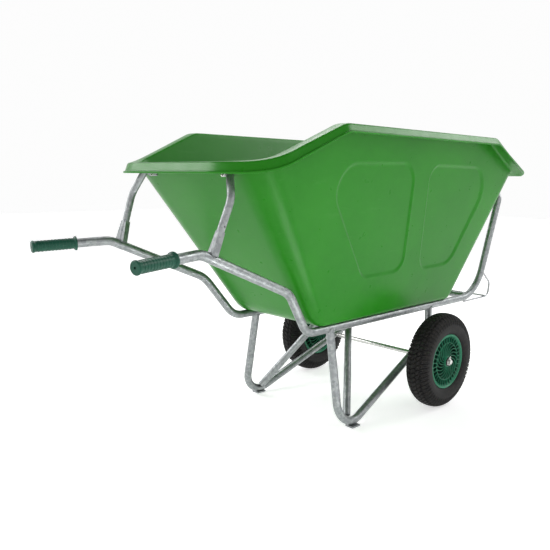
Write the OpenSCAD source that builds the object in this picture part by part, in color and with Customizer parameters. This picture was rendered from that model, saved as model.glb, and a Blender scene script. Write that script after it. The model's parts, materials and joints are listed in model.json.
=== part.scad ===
// Two-wheeled garden cart: a moulded plastic tub on a bent galvanised tube frame.
// Frame: +X forward (nose), +Y the cart's left, +Z up, origin on the ground at mid length.
// Most positions are written ahead of the axle; from_axle() sets them in the frame.
// All lengths in millimetres, all angles in degrees.

/* [Tube] */
// outside diameter of the frame tube
tube_od = 32; // [30:0.5:33]
// wall of the frame tube
tube_wall = 2; // [1.5:0.25:3]
// outside diameter of the two rear stays
stay_od = 25; // [22:0.5:27]
// diameter of the nose rods
nose_rod_d = 8; // [6:0.5:10]

/* [Tub] */
// wall of the moulded tub
tub_wall = 5; // [4:0.5:6]
// drop of the skirt below the rim
skirt_drop = 31; // [24:1:34]
// outward flare of the skirt at its lower edge
skirt_flare = 14; // [8:1:16]
// depth of the pressed side panels
panel_depth = 2.5; // [1:0.25:3]

/* [Wheels] */
// distance between the two wheel centre planes
track = 726; // [716:1:740]
// outside diameter of the tyre
tyre_d = 400; // [392:1:400]
// width of the tyre section
tyre_w = 100; // [92:1:100]
// diameter of the axle rod
axle_d = 20; // [18:0.5:20]
// number of curved ribs on each face of a wheel centre
rib_count = 14; // [10:1:16]

/* [Grips] */
// diameter of the moulded grip between its flanges
grip_d = 37; // [36:0.5:40]
// diameter of the flange next to the frame
grip_flange_d = 50; // [44:1:54]

/* [Hidden] */
$fn = 64;
tube_r = tube_od / 2;
tube_bore_r = tube_r - tube_wall;
stay_r = stay_od / 2;
stay_wall = 1.5;
stay_bore_r = stay_r - stay_wall;
cross_tube_r = tube_r - 2;
brace_tube_r = tube_r - 1;
rod_r = nose_rod_d / 2;
axle_r = axle_d / 2;
axle_x = 375.9;
axle_z = 200;
wheel_y = track / 2;

// bottom run of the side rails
rail_y = 206;
rail_z = 391;
tub_floor_z = rail_z + 16;

// centre lines, for the left side
grip_end = [-1448, 323, 718];
rail_knee_a = [-1188, 266, 729];
rail_knee_b = [-788, 239, 560];
rail_knee_c = [-662, rail_y, rail_z];
rail_nose = [560, rail_y, rail_z];
hoop_corner = [684, 240, 905];
handle_dir = unit(rail_knee_a - grip_end);
hoop_joint = rail_nose + 0.7 * (hoop_corner - rail_nose);
rail_radii = [80, 120, 80, 170];
hoop_r = 52;

leg_top = [-535, 208, rail_z];
leg_heel = [-539, 277, -21];
leg_crank = [142, 212, 258];
leg_end = [142, rail_y, rail_z];
leg_radii = [86, 60];
foot_x = -457;
foot_y = 272;

brace_foot = [-466, 247, 40];
brace_knee = [-238, 54.5, 388];
brace_r = 60;

stay_base = [-1142, 265, 726];
stay_knee = [-1084, 281, 892];
stay_top = [-1043, 220, 1010];

cross_x = 470;
cross_z = 397;

tub_tab_x = [-420, 180];
tub_tab_y = 172;
bolt_r = 4;
bolt_gap = 0.25;
bolt_l = 22;
nut_h = 6.5;
washer_t = 1.6;

// tub, outer walls where they would meet the floor plane and at full height
tub_top_z = 1133;
tub_rear = [-633, -1160];
tub_front = [311, 679];
tub_half = [226, 383];
tub_rear_r = [60, 120];
tub_front_r = [60, 85];
tub_knee_front = [90, 265];
tub_knee_rear = [-400, -725];
rim_rear = -1110;
rim_front = 610;
rim_half = 425;
rim_end_half = 401;
rim_rear_r = 190;
rim_front_r = 80;
rim_rear_z = 1003;
rim_front_z = 983;
rise_run = 295;
lip_t = 8;
rear_drop_extra = 6;
corner_steps = 8;
height_span = tub_top_z - tub_floor_z;
side_lean = atan((tub_half[1] - tub_half[0]) / height_span);

// wheel
bead_r = 102;
flange_r = 115.5;
flange_y = 40;
rim_well_r = 92;
hub_r = 22;
hub_half = 42;
bush_r = 14;
bush_flange_t = 2;
running_gap = 0.05;
end_gap = 0.5;
hub_face_y = wheel_y + hub_half + bush_flange_t;
hub_inner_y = wheel_y - hub_half - bush_flange_t;

// ---- vectors ----
function unit(v) = v / norm(v);
function turn_angle(a, b, c) =
    let (u = unit(b - a), w = unit(c - b))
    acos(max(-1, min(1, u * w)));
function mix(a, b, t) = a + (b - a) * t;

// places children so that their +Z runs along direction d from point p, with local +X level
module aim(p, d) {
    w = unit(d);
    side = (abs(w[2]) > 0.999) ? [1, 0, 0] : unit(cross([0, 0, 1], w));
    up = cross(w, side);
    multmatrix([
        [side[0], up[0], w[0], p[0]],
        [side[1], up[1], w[1], p[1]],
        [side[2], up[2], w[2], p[2]],
        [0, 0, 0, 1]
    ])
    children();
}

// each bend meets its straights inside a bend mark, a ring that stands a little proud of the bar
mark_rise = 0.15;
mark_half = 0.5;
mark_gap = 0.25;
module bend_mark(bar_r) {
    translate([0, 0, -mark_half])
    cylinder(r = bar_r + mark_rise, h = 2 * mark_half, $fn = 32);
}

// angles and lengths are kept to a thousandth
function trim(v) = round(v * 1000) / 1000;

// length of straight taken up by the bend at an inner point
function bend_cut(pts, radii, i) =
    (i == 0 || i == len(pts) - 1) ? 0
        : radii[i - 1] * tan(turn_angle(pts[i - 1], pts[i], pts[i + 1]) / 2);

// straight run and bend of a bar that starts at the local origin along +Z;
// x_dir and y_dir are the directions of the local axes
module bar_step(pts, radii, bar_r, i, x_dir, y_dir) {
    a = pts[i];
    b = pts[i + 1];
    z_dir = unit(b - a);
    run = trim(norm(b - a) - bend_cut(pts, radii, i) - bend_cut(pts, radii, i + 1));
    start = (i == 0) ? 0 : mark_gap;
    end = (i + 2 < len(pts)) ? run - mark_gap : run;
    translate([0, 0, start])
    cylinder(r = bar_r, h = end - start, $fn = 32);
    if (i > 0)
        bend_mark(bar_r);
    if (i + 2 < len(pts)) {
        c = pts[i + 2];
        bend_r = radii[i];
        theta = trim(turn_angle(a, b, c));
        inward = unit(unit(c - b) - z_dir * cos(theta));
        roll = trim(atan2(inward * y_dir, inward * x_dir));
        translate([0, 0, run])
        rotate([0, 0, roll]) {
            bend_mark(bar_r);
            translate([bend_r, 0, 0])
            rotate([90, 0, 180])
            rotate_extrude(angle = theta, $fn = 72)
            translate([bend_r, 0])
            circle(r = bar_r, $fn = 32);
            translate([bend_r, 0, 0])
            rotate([0, theta, 0])
            translate([-bend_r, 0, 0])
            bar_step(
                pts, radii, bar_r, i + 1,
                inward * cos(theta) - z_dir * sin(theta), cross(z_dir, inward)
            );
        }
    }
}

// bar along a list of points with one bend radius for each inner point
module bent_bar(pts, radii, bar_r) {
    d = unit(pts[1] - pts[0]);
    side = unit(cross([0, 0, 1], d));
    aim(pts[0], d)
    bar_step(pts, radii, bar_r, 0, side, cross(d, side));
}

// same path with both ends run on by a distance
function run_on(pts, by) =
    let (last = len(pts) - 1)
    [
        for (i = [0 : last])
        (i == 0) ? pts[0] - unit(pts[1] - pts[0]) * by
            : (i == last) ? pts[last] + unit(pts[last] - pts[last - 1]) * by
            : pts[i]
    ];

module from_axle() {
    translate([axle_x, 0, 0])
    children();
}

module right() {
    mirror([0, 1, 0])
    children();
}

// ---- side rails, hoop and cross members ----
rail_path = [
    grip_end + handle_dir * 6, rail_knee_a, rail_knee_b, rail_knee_c, rail_nose, hoop_joint
];
hoop_path = [
    hoop_joint, hoop_corner,
    [hoop_corner[0], -hoop_corner[1], hoop_corner[2]],
    [hoop_joint[0], -hoop_joint[1], hoop_joint[2]]
];
leg_path = [leg_top, leg_heel, leg_crank, leg_end];
brace_path = [
    brace_foot, brace_knee,
    [brace_knee[0], -brace_knee[1], brace_knee[2]],
    [brace_foot[0], -brace_foot[1], brace_foot[2]]
];

module rail_solid() {
    bent_bar(rail_path, rail_radii, tube_r);
}

module leg_solid() {
    bent_bar(leg_path, leg_radii, tube_r);
}

drain_r = 2.5;
module rail_shape() {
    difference() {
        rail_solid();
        bent_bar(run_on(rail_path, 1), rail_radii, tube_bore_r);
        // drain hole on the outer face of the slanted run
        translate(mix(rail_knee_b, rail_knee_c, 0.02) + [0, 8, 0])
        rotate([-90, 0, 0])
        cylinder(r = drain_r, h = 20);
    }
}

module left_rail() {
    color("silver")
    from_axle()
    rail_shape();
}

module right_rail() {
    color("silver")
    from_axle()
    right()
    rail_shape();
}

module front_hoop() {
    color("silver")
    from_axle()
    difference() {
        bent_bar(hoop_path, [hoop_r, hoop_r], tube_r);
        bent_bar(run_on(hoop_path, 1), [hoop_r, hoop_r], tube_bore_r);
    }
}

module front_cross_tube() {
    color("silver")
    from_axle()
    difference() {
        translate([cross_x, -rail_y, cross_z])
        rotate([-90, 0, 0])
        cylinder(r = cross_tube_r, h = 2 * rail_y);
        translate([cross_x, -rail_y - 1, cross_z])
        rotate([-90, 0, 0])
        cylinder(r = cross_tube_r - tube_wall, h = 2 * rail_y + 2);
        rail_solid();
        right()
        rail_solid();
    }
}

module cross_brace() {
    color("silver")
    from_axle()
    difference() {
        bent_bar(brace_path, [brace_r, brace_r], brace_tube_r);
        bent_bar(run_on(brace_path, 1), [brace_r, brace_r], brace_tube_r - tube_wall);
        leg_solid();
        right()
        leg_solid();
    }
}

// ---- legs ----
module leg_shape() {
    difference() {
        leg_solid();
        bent_bar(run_on(leg_path, 1), leg_radii, tube_bore_r);
        rail_solid();
        // axle hole through the diagonal
        translate([0, rail_y - 20, axle_z])
        rotate([-90, 0, 0])
        cylinder(r = axle_r, h = 80);
        // drain hole on the outer face of the post, near its top
        translate([leg_top[0], leg_top[1] + 8, rail_z - 42])
        rotate([-90, 0, 0])
        cylinder(r = drain_r, h = 20);
    }
}

module left_leg() {
    color("silver")
    from_axle()
    leg_shape();
}

module right_leg() {
    color("silver")
    from_axle()
    right()
    leg_shape();
}

module foot_plate_shape() {
    plate_l = 46;
    plate_w = 38;
    plate_t = 6.5;
    difference() {
        translate([foot_x - plate_l / 2, foot_y - plate_w / 2, 0])
        cube([plate_l, plate_w, plate_t]);
        leg_solid();
    }
}

module left_foot_plate() {
    color("gray")
    from_axle()
    foot_plate_shape();
}

module right_foot_plate() {
    color("gray")
    from_axle()
    right()
    foot_plate_shape();
}

// ---- rear stays ----
stay_path = [stay_base, stay_knee, stay_top];
stay_bend_r = 90;
stay_tab_t = 5;
stay_tab_w = 24;
stay_tab_l = 50;
// half widths of the stay's widened lower end and of its neck
stay_foot_half = 18.5;
stay_neck_half = 11.5;
tub_rear_lean = atan((tub_rear[0] - tub_rear[1]) / height_span);
stay_bolt_z = 970;
stay_tab_y = 200;
function rear_wall_x(z) = mix(tub_rear[0], tub_rear[1], (z - tub_floor_z) / height_span);

// places children at the stay's bolt, on the tub's rear wall or a distance t behind it
module stay_head(t) {
    translate([rear_wall_x(stay_bolt_z), stay_tab_y, stay_bolt_z])
    rotate([0, -tub_rear_lean, 0])
    translate([-t, 0, 0])
    children();
}

module stay_shape() {
    difference() {
        union() {
            bent_bar(stay_path, [stay_bend_r], stay_r);
            // widened lower end
            aim(stay_base, stay_knee - stay_base)
            rotate([90, 0, 0])
            translate([0, 0, 1.5 - stay_r])
            linear_extrude(height = 2 * stay_r - 3)
            polygon([
                [-stay_foot_half, -4], [stay_foot_half, -4], [stay_foot_half, 6],
                [stay_neck_half, 72], [-stay_neck_half, 72], [-stay_foot_half, 6]
            ]);
            // bolt tab on the tub's rear wall, from the tube's end inwards
            stay_head(stay_tab_t)
            translate([0, -14, -stay_tab_w / 2])
            cube([stay_tab_t + 1, stay_tab_l, stay_tab_w]);
        }
        bent_bar([
            mix(stay_base, stay_knee, 0.35), stay_knee, mix(stay_knee, stay_top, 0.9)
        ], [stay_bend_r], stay_bore_r);
        rail_solid();
        stay_head(0)
        rotate([0, -90, 0])
        translate([0, 0, -20])
        cylinder(r = bolt_r + bolt_gap, h = 60);
        translate(mix(stay_base, stay_knee, 0.5))
        rotate([-90, 0, 0])
        cylinder(r = drain_r, h = 20);
    }
}

module left_stay() {
    color("silver")
    from_axle()
    difference() {
        stay_shape();
        tub_blank();
    }
}

module right_stay() {
    color("silver")
    from_axle()
    right()
    difference() {
        stay_shape();
        tub_blank();
    }
}

// dome-headed bolt along local +Z with the head's seat at the origin, head below
module coach_bolt(shank) {
    head_r = 9;
    head_h = 4;
    rotate_extrude()
    polygon([
        for (i = [0 : 6])
        [head_r * cos(i * 15), -head_h * sin(i * 15)],
        [0, 0]
    ]);
    cylinder(r = bolt_r, h = shank);
}

module hex_nut() {
    difference() {
        cylinder(r = 7.5, h = nut_h, $fn = 6);
        translate([0, 0, -1])
        cylinder(r = bolt_r, h = nut_h + 2);
    }
}

module plain_washer(outer_r, bore_r, t) {
    difference() {
        cylinder(r = outer_r, h = t);
        translate([0, 0, -1])
        cylinder(r = bore_r, h = t + 2);
    }
}

module stay_bolts() {
    color("silver")
    from_axle()
    for (side = [0, 1])
        mirror([0, side, 0])
        stay_head(0)
        translate([tub_wall, 0, 0])
        rotate([0, -90, 0])
        coach_bolt(bolt_l);
}

module stay_nuts() {
    color("silver")
    from_axle()
    for (side = [0, 1])
        mirror([0, side, 0])
        stay_head(stay_tab_t)
        rotate([0, -90, 0])
        hex_nut();
}

// ---- nose rods ----
nose_rod_z = rail_z - tube_r - rod_r;
nose_rod_path = [
    [598, 211, 512], [694, 207, 440], [686, rail_y, nose_rod_z], [452, rail_y, nose_rod_z]
];

module nose_rod_shape() {
    difference() {
        bent_bar(nose_rod_path, [26, 34], rod_r);
        rail_solid();
    }
}

module left_nose_rod() {
    color("silver")
    from_axle()
    nose_rod_shape();
}

module right_nose_rod() {
    color("silver")
    from_axle()
    right()
    nose_rod_shape();
}

module nose_cross_rod() {
    color("silver")
    from_axle()
    translate([636, -rail_y - 12, nose_rod_z + 2 * rod_r])
    rotate([-90, 0, 0])
    cylinder(r = rod_r, h = 2 * rail_y + 24);
}

// ---- tub ----
// outline of a rounded rectangle, counted from the front left corner through the left side
function corner_arc(cx, cy, r, from) = [
    for (i = [0 : corner_steps])
    [cx + r * cos(from + 90 * i / corner_steps), cy + r * sin(from + 90 * i / corner_steps)]
];
function outline(xr, xf, h, h_mid, rr, rf, kf, kr) = concat(
    corner_arc(xf - rf, h - rf, rf, 0),
    [[kf, h_mid], [kr, h_mid]],
    corner_arc(xr + rr, h - rr, rr, 90),
    corner_arc(xr + rr, -h + rr, rr, 180),
    [[kr, -h_mid], [kf, -h_mid]],
    corner_arc(xf - rf, -h + rf, rf, 270)
);
side_count = 4 * (corner_steps + 1) + 4;

// height of the rim above each point of the plan
rear_rise = (tub_top_z - rim_rear_z) / rise_run;
front_fall = (tub_top_z - rim_front_z) / (rim_front - tub_knee_front[1]);
function rim_z(x) = min(
    tub_top_z,
    max(rim_rear_z, tub_top_z + rear_rise * (x - tub_knee_rear[1])),
    tub_top_z - front_fall * (x - tub_knee_front[1])
);
function skirt_at(x) =
    (x < tub_knee_rear[1])
        ? skirt_drop + rear_drop_extra * min(1, (tub_knee_rear[1] - x) / rise_run)
        : (x < tub_knee_front[1]) ? skirt_drop
        : mix(skirt_drop, lip_t, (x - tub_knee_front[1]) / (rim_front - tub_knee_front[1]));

// wall lines: end points on the floor plane and at full height, moved in by d
function wall_ring(k, d) =
    let (in_x = d / cos(30), in_y = d / cos(side_lean), z = [tub_floor_z, tub_top_z][k])
    [
        for (p = outline(
            tub_rear[k] + in_x, tub_front[k] - in_x, tub_half[k] - in_y, tub_half[k] - in_y,
            tub_rear_r[k] - d, tub_front_r[k] - d, tub_knee_front[k], tub_knee_rear[k]
        ))
        [p[0], p[1], z]
    ];

// share of the wall line at which it meets the rim surface lowered by drop
function rim_share(a, b, drop, lo = 0.4, hi = 1.05, n = 20) =
    let (mid = (lo + hi) / 2, p = mix(a, b, mid))
    (n == 0) ? mid
        : (p[2] > rim_z(p[0]) - drop) ? rim_share(a, b, drop, lo, mid, n - 1)
        : rim_share(a, b, drop, mid, hi, n - 1);
function wall_to_rim(low, high, drop) = [
    for (i = [0 : side_count - 1])
    mix(low[i], high[i], rim_share(low[i], high[i], drop))
];

// rounded turn from floor to wall; longer at the ends of the tub than along its sides
turn_steps = 5;
function inward_dir(ring, i) =
    let (
        a = ring[(i + side_count - 1) % side_count],
        b = ring[(i + 1) % side_count],
        t = unit([b[0] - a[0], b[1] - a[1]])
    )
    [-t[1], t[0], 0];
function turn_ring(low, high, s, floor_z) = [
    for (i = [0 : side_count - 1])
    let (
        w = unit(high[i] - low[i]),
        base = low[i] + w * (floor_z - low[i][2]) / w[2],
        f = inward_dir(low, i),
        reach = 19 + 48 * f[0] * f[0],
        a = base + f * reach,
        c = base + w * reach
    )
    (1 - s) * (1 - s) * a + 2 * s * (1 - s) * base + s * s * c
];
function rim_ring(out, drop_share, lift) = [
    for (p = outline(
        rim_rear - out, rim_front + out, rim_end_half + out, rim_half + out,
        rim_rear_r + out, rim_front_r + out,
        tub_knee_front[1], tub_knee_rear[1]
    ))
    [p[0], p[1], rim_z(min(p[0], rim_front)) - drop_share * skirt_at(min(p[0], rim_front)) + lift]
];

module loft(rings) {
    n = side_count;
    last = len(rings) - 1;
    pts = [for (r = rings) for (p = r) p];
    walls = [
        for (k = [0 : last - 1])
        for (i = [0 : n - 1])
        let (j = (i + 1) % n)
        each [
            [k * n + i, (k + 1) * n + i, (k + 1) * n + j],
            [k * n + i, (k + 1) * n + j, k * n + j]
        ]
    ];
    bottom = [[for (i = [0 : n - 1]) i]];
    top = [[for (i = [n - 1 : -1 : 0]) last * n + i]];
    polyhedron(points = pts, faces = concat(walls, bottom, top), convexity = 8);
}

outer_low = wall_ring(0, 0);
outer_high = wall_ring(1, 0);
inner_low = wall_ring(0, tub_wall);
inner_high = wall_ring(1, tub_wall);
inner_floor_z = tub_floor_z + tub_wall;
skirt_t = 4;

module tub_shell() {
    loft(concat(
        [
            for (s = [0 : turn_steps])
            turn_ring(outer_low, outer_high, s / turn_steps, tub_floor_z)
        ],
        [
            wall_to_rim(outer_low, outer_high, 5),
            rim_ring(-skirt_t, 0, -5),
            rim_ring(skirt_flare - skirt_t, 1, 0),
            rim_ring(skirt_flare + 3, 1, 0),
            rim_ring(skirt_flare + 3, 0.82, 0),
            rim_ring(skirt_flare * 0.78, 0.8, 0),
            rim_ring(1, 0.06, 0),
            rim_ring(-2, 0, 0),
            wall_to_rim(inner_low, inner_high, 0)
        ],
        [
            for (s = [turn_steps : -1 : 0])
            turn_ring(inner_low, inner_high, s / turn_steps, inner_floor_z)
        ]
    ));
}

// solid with the tub's outer walls only, for shaping what rests on them
module tub_blank() {
    loft([
        turn_ring(outer_low, outer_high, 0, tub_floor_z),
        turn_ring(outer_low, outer_high, 0.5, tub_floor_z),
        turn_ring(outer_low, outer_high, 1, tub_floor_z),
        outer_high
    ]);
}

// pressed side panels, drawn as corner discs [x, z, radius] in the side view
panel_rear = [[-567, 917, 95], [-310, 918, 100], [-222, 640, 58], [-385, 652, 73]];
panel_front = [[-58, 958, 56], [210, 892, 120], [140, 675, 94], [20, 648, 70]];

module panel_cutter(discs) {
    translate([0, tub_half[0], tub_floor_z])
    rotate([-side_lean, 0, 0])
    translate([0, -panel_depth, -tub_floor_z])
    rotate([90, 0, 0])
    mirror([0, 0, 1])
    linear_extrude(height = 20)
    hull()
    for (d = discs)
        translate([d[0], tub_floor_z + (d[1] - tub_floor_z) / cos(side_lean)])
        circle(r = d[2], $fn = 40);
}

module tub() {
    color("green")
    from_axle()
    difference() {
        tub_shell();
        for (side = [0, 1])
            mirror([0, side, 0])
            for (discs = [panel_rear, panel_front])
                panel_cutter(discs);
        for (side = [0, 1])
            mirror([0, side, 0]) {
                for (x = tub_tab_x)
                    translate([x, tub_tab_y, tub_floor_z - 5])
                    cylinder(r = bolt_r + bolt_gap, h = 20);
                stay_head(0)
                rotate([0, -90, 0])
                translate([0, 0, -20])
                cylinder(r = bolt_r + bolt_gap, h = 40);
            }
    }
}

// ---- tub fixings ----
tab_t = 4;
module each_tab() {
    for (side = [0, 1])
        mirror([0, side, 0])
        for (x = tub_tab_x)
            translate([x, tub_tab_y, 0])
            children();
}

module tub_tabs() {
    color("silver")
    from_axle()
    difference() {
        each_tab()
        translate([-20, -20, tub_floor_z - tab_t])
        cube([40, rail_y - tub_tab_y + 20, tab_t]);
        rail_solid();
        right()
        rail_solid();
        each_tab()
        translate([0, 0, tub_floor_z - tab_t - 1])
        cylinder(r = bolt_r + bolt_gap, h = tab_t + 2);
    }
}

module tub_washers() {
    color("silver")
    from_axle()
    each_tab()
    translate([0, 0, inner_floor_z])
    plain_washer(15, bolt_r + bolt_gap, washer_t);
}

module tub_bolts() {
    color("silver")
    from_axle()
    each_tab()
    translate([0, 0, inner_floor_z + washer_t])
    rotate([180, 0, 0])
    coach_bolt(bolt_l);
}

module tub_nuts() {
    color("silver")
    from_axle()
    each_tab()
    translate([0, 0, tub_floor_z - tab_t - nut_h])
    hex_nut();
}

// ---- grips ----
module grip_shape() {
    grip_l = 148;
    body_r = grip_d / 2;
    end_r = 21;
    closed_t = 6;
    inner_r = grip_flange_d / 2;
    rib_n = 10;
    aim(grip_end, handle_dir)
    difference() {
        union() {
            rotate_extrude()
            polygon([
                [0, 0], [end_r - 3, 0], [end_r, 3], [end_r, 6], [body_r, 12],
                [body_r, grip_l - 9], [inner_r - 2, grip_l - 6], [inner_r, grip_l - 4],
                [inner_r, grip_l], [0, grip_l]
            ]);
            for (i = [0 : rib_n - 1])
                translate([0, 0, 20 + i * 11.5])
                cylinder(r = body_r + 0.8, h = 5);
        }
        translate([0, 0, closed_t])
        cylinder(r = tube_r, h = grip_l);
        translate([0, 0, -1])
        cylinder(r = 4, h = closed_t + 2);
    }
}

module left_grip() {
    color("darkgreen")
    from_axle()
    grip_shape();
}

module right_grip() {
    color("darkgreen")
    from_axle()
    right()
    grip_shape();
}

// ---- axle ----
axle_half = hub_face_y + end_gap + 12;
pin_y = hub_face_y + end_gap + 5.5;
pin_r = 2;
pin_half = 15;

module axle() {
    color("silver")
    from_axle()
    difference() {
        translate([0, -axle_half, axle_z])
        rotate([-90, 0, 0]) {
            translate([0, 0, 1])
            cylinder(r = axle_r, h = 2 * axle_half - 2);
            cylinder(r1 = axle_r - 1, r2 = axle_r, h = 1);
            translate([0, 0, 2 * axle_half - 1])
            cylinder(r1 = axle_r, r2 = axle_r - 1, h = 1);
        }
        for (side = [-1, 1])
            translate([0, side * pin_y, axle_z - 20])
            cylinder(r = pin_r, h = 40);
    }
}

module on_axle(y) {
    for (side = [0, 1])
        mirror([0, side, 0])
        translate([0, y, axle_z])
        rotate([-90, 0, 0])
        children();
}

collar_l = 12;
module axle_collars() {
    color("silver")
    from_axle()
    on_axle(hub_inner_y - end_gap - collar_l)
    plain_washer(17, axle_r, collar_l);
}

module axle_washers() {
    color("silver")
    from_axle()
    on_axle(hub_face_y + end_gap)
    plain_washer(15, axle_r, 2.5);
}

module split_pins() {
    color("silver")
    from_axle()
    for (side = [-1, 1])
        translate([0, side * pin_y, axle_z]) {
            translate([0, 0, -pin_half])
            cylinder(r = pin_r, h = 2 * pin_half);
            translate([0, 0, pin_half + 3])
            rotate([90, 0, 0])
            rotate_extrude()
            translate([4.2, 0])
            circle(r = 1.7, $fn = 24);
        }
}

// ---- wheels ----
module wheel_place(side) {
    mirror([0, side, 0])
    translate([0, wheel_y, axle_z])
    rotate([-90, 0, 0])
    children();
}

tyre_r = tyre_d / 2;
half_w = tyre_w / 2;
// section of the tyre: crown, shoulders, side walls and beads, in [radius, width]
section_mid = (tyre_r + bead_r) / 2;
section_h = (tyre_r - bead_r) / 2;
function tyre_arc(half_width, half_height, from, to, steps) = [
    for (i = [0 : steps])
    let (a = mix(from, to, i / steps), c = cos(a), s = sin(a))
    [
        section_mid + half_height * sign(c) * pow(abs(c), 0.85),
        half_width * sign(s) * pow(abs(s), 0.8)
    ]
];

module tyre_shape() {
    outer = tyre_arc(half_w, section_h, -128, 128, 36);
    inner = tyre_arc(half_w - 7, section_h - 8, 140, -140, 32);
    seat_r = bead_r - 0.5;
    bead = [[116.6, 36.6], [seat_r, 31.6], [seat_r, 20], [seat_r + 6, 21]];
    groove_w = 4;
    groove_step = 19;
    groove_depth = 4.5;
    difference() {
        rotate_extrude($fn = 96)
        polygon(concat(outer, bead, inner, [for (i = [3 : -1 : 0]) [bead[i][0], -bead[i][1]]]));
        for (i = [-1 : 1])
            translate([0, 0, i * groove_step - groove_w / 2])
            difference() {
                cylinder(r = tyre_r + 1, h = groove_w, $fn = 96);
                translate([0, 0, -1])
                cylinder(r = tyre_r - groove_depth, h = groove_w + 2, $fn = 96);
            }
    }
}

// inflated tube, lying just inside the tyre
module inner_tube_shape() {
    difference() {
        rotate_extrude($fn = 96)
        difference() {
            polygon(tyre_arc(half_w - 7.3, section_h - 8.3, -180, 175, 71));
            polygon(tyre_arc(half_w - 9.8, section_h - 10.8, -180, 175, 71));
        }
        valve_stem();
    }
}

// valve: cap, stem through the rim, and a foot against the inner tube
valve_out = 14;
valve_end_r = 114;
valve_y = 14;
valve_r = 3.9;
module valve_stem() {
    translate([rim_well_r - valve_out, 0, valve_y])
    rotate([0, 90, 0])
    cylinder(r = valve_r, h = valve_end_r - rim_well_r + valve_out);
}

module valve_shape() {
    valve_stem();
    translate([rim_well_r - valve_out, 0, valve_y])
    rotate([0, 90, 0]) {
        cylinder(r = valve_r + 1.3, h = 9);
        translate([0, 0, valve_out + 11])
        cylinder(r = valve_r + 1.5, h = 5);
    }
}

module valve_hole() {
    translate([rim_well_r - valve_out, 0, valve_y])
    rotate([0, 90, 0])
    cylinder(r = valve_r + 0.5, h = valve_out + 10);
}

rib_t = 3;
web_half = 2;
rib_half = 27;
ring_r = 76;
ring_t = 2.5;
module centre_shape() {
    well_t = 4.5;
    swirl_r = 46;
    outer_rib_n = 28;
    difference() {
        union() {
            // barrel with bead seats and flanges
            rotate_extrude($fn = 96)
            polygon([
                [flange_r, flange_y], [bead_r + 1, flange_y], [bead_r - well_t, flange_y - 3],
                [bead_r - well_t, 19], [rim_well_r - well_t, 12],
                [rim_well_r - well_t, -12], [bead_r - well_t, -19],
                [bead_r - well_t, 3 - flange_y], [bead_r + 1, -flange_y],
                [flange_r, -flange_y], [flange_r - 0.5, 3 - flange_y],
                [bead_r - 0.5, 8 - flange_y], [bead_r - 0.5, -16], [rim_well_r, -10],
                [rim_well_r, 10], [bead_r - 0.5, 16], [bead_r - 0.5, flange_y - 8],
                [flange_r - 0.5, flange_y - 3]
            ]);
            cylinder(r = rim_well_r - 2, h = 2 * web_half, center = true, $fn = 96);
            cylinder(r = hub_r, h = 2 * hub_half, center = true);
            for (i = [0 : rib_count - 1])
                rotate(i * 360 / rib_count)
                intersection() {
                    translate([swirl_r, 0, -rib_half])
                    difference() {
                        cylinder(r = swirl_r, h = 2 * rib_half);
                        translate([0, 0, -1])
                        cylinder(r = swirl_r - rib_t, h = 2 * rib_half + 2);
                    }
                    translate([0, 0, -rib_half - 1])
                    cube([ring_r, ring_r, 2 * rib_half + 2]);
                    cylinder(r = ring_r - 1, h = 2 * rib_half + 4, center = true);
                }
            for (i = [0 : outer_rib_n - 1])
                rotate((i + 0.5) * 360 / outer_rib_n)
                translate([ring_r - 1, -1.25, -rib_half])
                cube([rim_well_r - ring_r - 1, 2.5, 2 * rib_half]);
            difference() {
                cylinder(r = ring_r, h = 2 * rib_half + 2, center = true);
                cylinder(r = ring_r - ring_t, h = 2 * rib_half + 4, center = true);
            }
        }
        cylinder(r = bush_r, h = 2 * hub_half + 2, center = true);
        valve_hole();
    }
}

module bushes_shape() {
    bush_l = 30;
    for (side = [0, 1])
        mirror([0, 0, side])
        difference() {
            union() {
                translate([0, 0, hub_half - bush_l])
                cylinder(r = bush_r, h = bush_l);
                translate([0, 0, hub_half])
                cylinder(r = hub_r - 3, h = bush_flange_t);
            }
            translate([0, 0, hub_half - bush_l - 1])
            cylinder(r = axle_r + running_gap, h = bush_l + bush_flange_t + 2);
        }
}

module left_tyre() {
    color("dimgray")
    from_axle()
    wheel_place(0)
    tyre_shape();
}

module left_inner_tube() {
    color("black")
    from_axle()
    wheel_place(0)
    inner_tube_shape();
}

module left_valve() {
    color("gold")
    from_axle()
    wheel_place(0)
    valve_shape();
}

module left_wheel_centre() {
    color("darkgreen")
    from_axle()
    wheel_place(0)
    centre_shape();
}

module left_hub_bushes() {
    color("black")
    from_axle()
    wheel_place(0)
    bushes_shape();
}

module right_tyre() {
    color("dimgray")
    from_axle()
    wheel_place(1)
    tyre_shape();
}

module right_inner_tube() {
    color("black")
    from_axle()
    wheel_place(1)
    inner_tube_shape();
}

module right_valve() {
    color("gold")
    from_axle()
    wheel_place(1)
    valve_shape();
}

module right_wheel_centre() {
    color("darkgreen")
    from_axle()
    wheel_place(1)
    centre_shape();
}

module right_hub_bushes() {
    color("black")
    from_axle()
    wheel_place(1)
    bushes_shape();
}

tub();
left_rail();
right_rail();
front_hoop();
front_cross_tube();
cross_brace();
left_leg();
right_leg();
left_foot_plate();
right_foot_plate();
left_stay();
right_stay();
stay_bolts();
stay_nuts();
left_nose_rod();
right_nose_rod();
nose_cross_rod();
tub_tabs();
tub_bolts();
tub_washers();
tub_nuts();
left_grip();
right_grip();
axle();
axle_collars();
axle_washers();
split_pins();
left_tyre();
left_inner_tube();
left_valve();
left_wheel_centre();
left_hub_bushes();
right_tyre();
right_inner_tube();
right_valve();
right_wheel_centre();
right_hub_bushes();
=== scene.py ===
"""Visual model of the garden cart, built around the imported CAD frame."""
import json
import math

import bpy
import numpy as np
from mathutils import Matrix, Vector


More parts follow.
